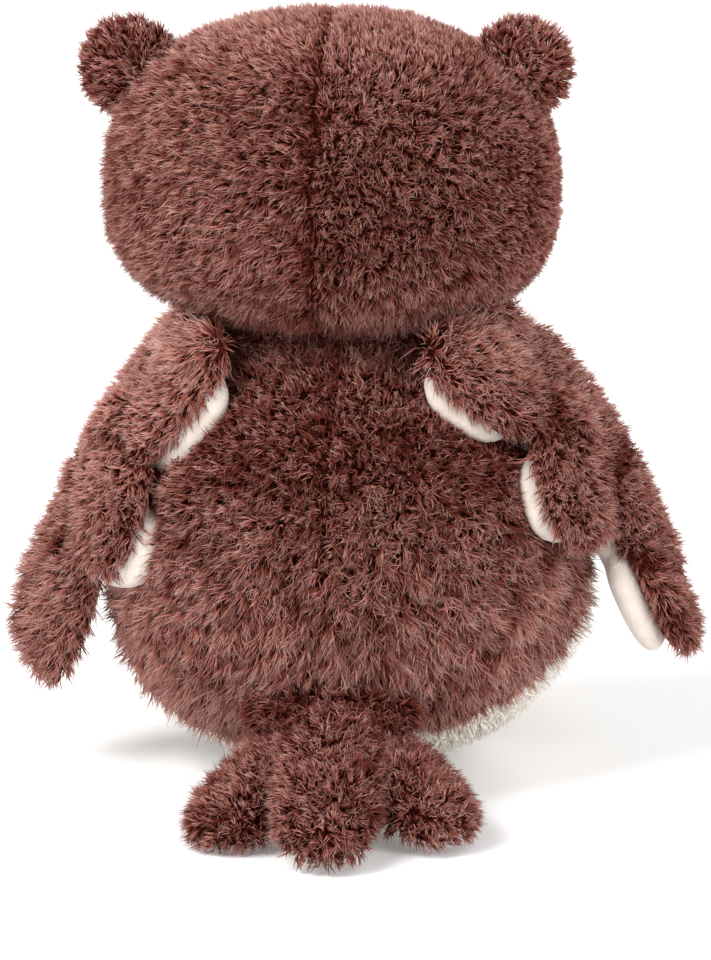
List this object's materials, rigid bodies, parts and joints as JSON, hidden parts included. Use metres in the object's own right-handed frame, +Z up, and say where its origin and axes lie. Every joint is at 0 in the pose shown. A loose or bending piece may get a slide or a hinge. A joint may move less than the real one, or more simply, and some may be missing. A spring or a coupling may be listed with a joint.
{
  "type": "plush owl",
  "caption": "Sitting long-pile plush owl with a turning and nodding head, lifting three-feathered wings, fan tail and toed feet.",
  "frame": {"origin": "centre of the flat seat, on the floor under the body's axis", "axes": "+Z up, the owl faces -Y, +X is the owl's left"},
  "size_m": [0.3146, 0.3339, 0.348],
  "materials": {
    "brown_long_pile_plush": "long pointed pile, brown with paler tips",
    "brown_backing_cloth": "matt knitted cloth",
    "cream_belly_plush": "short soft plush",
    "cream_velour": "very short nap",
    "tan_velour": "very short nap",
    "tan_felt": "matt felt",
    "black_gloss_plastic": "polished",
    "white_plastic": "as moulded",
    "polyester_fibrefill": "loose white fibre",
    "bean_bag_cloth": "plain woven bag of plastic beads"
  },
  "bodies": {
    "torso": {"body_back_left": "brown_long_pile_plush", "body_back_right": "brown_long_pile_plush", "belly_panel": "cream_belly_plush", "body_stuffing": "polyester_fibrefill", "bean_bag": "bean_bag_cloth"},
    "neck": {"neck": "brown_backing_cloth"},
    "head": {"head_back_left": "brown_long_pile_plush", "head_back_right": "brown_long_pile_plush", "face_panel": "brown_long_pile_plush", "head_stuffing": "polyester_fibrefill", "ear_left_back": "brown_long_pile_plush", "ear_left_lining": "cream_velour", "ear_right_back": "brown_long_pile_plush", "ear_right_lining": "cream_velour", "eye_disc_left": "cream_velour", "eye_disc_right": "cream_velour", "eye_left": "black_gloss_plastic", "eye_right": "black_gloss_plastic", "eye_washer_left": "white_plastic", "eye_washer_right": "white_plastic", "beak": "tan_felt"},
    "wing_left": {"wing_left_cover": "brown_long_pile_plush", "wing_left_lining": "cream_velour", "wing_left_filling": "polyester_fibrefill"},
    "wing_right": {"wing_right_cover": "brown_long_pile_plush", "wing_right_lining": "cream_velour", "wing_right_filling": "polyester_fibrefill"},
    "tail": {"tail_cover": "brown_long_pile_plush", "tail_lining": "cream_velour", "tail_filling": "polyester_fibrefill"},
    "foot_left": {"foot_left_upper": "tan_velour", "foot_left_sole": "cream_velour", "foot_left_filling": "polyester_fibrefill"},
    "foot_right": {"foot_right_upper": "tan_velour", "foot_right_sole": "cream_velour", "foot_right_filling": "polyester_fibrefill"}
  },
  "joints": [
    {"name": "head_turn", "type": "hinge", "parent": "torso", "child": "neck", "pos_m": [0.0035, 0, 0.205], "axis": [0, 0, 1], "range_deg": [-25, 25], "stiffness_Nm_per_rad": 0.3},
    {"name": "head_nod", "type": "hinge", "parent": "neck", "child": "head", "pos_m": [0.0035, 0, 0.205], "axis": [1, 0, 0], "range_deg": [-5, 8], "stiffness_Nm_per_rad": 1},
    {"name": "wing_left_lift", "type": "hinge", "parent": "torso", "child": "wing_left", "pos_m": [0.061, 0.018, 0.2], "axis": [0.4696, -0.8793, -0.0799], "range_deg": [0, 25]},
    {"name": "wing_right_lift", "type": "hinge", "parent": "torso", "child": "wing_right", "pos_m": [-0.061, 0.018, 0.2], "axis": [0.4696, 0.8793, 0.0799], "range_deg": [0, 25]},
    {"name": "tail_lift", "type": "hinge", "parent": "torso", "child": "tail", "pos_m": [0, 0.0945, 0.0625], "axis": [1, 0, 0], "range_deg": [0, 45]},
    {"name": "foot_left_lift", "type": "hinge", "parent": "torso", "child": "foot_left", "pos_m": [0.044, -0.067, 0.031], "axis": [-1, 0, 0], "range_deg": [0, 40]},
    {"name": "foot_right_lift", "type": "hinge", "parent": "torso", "child": "foot_right", "pos_m": [-0.044, -0.067, 0.031], "axis": [-1, 0, 0], "range_deg": [0, 40]}
  ]
}
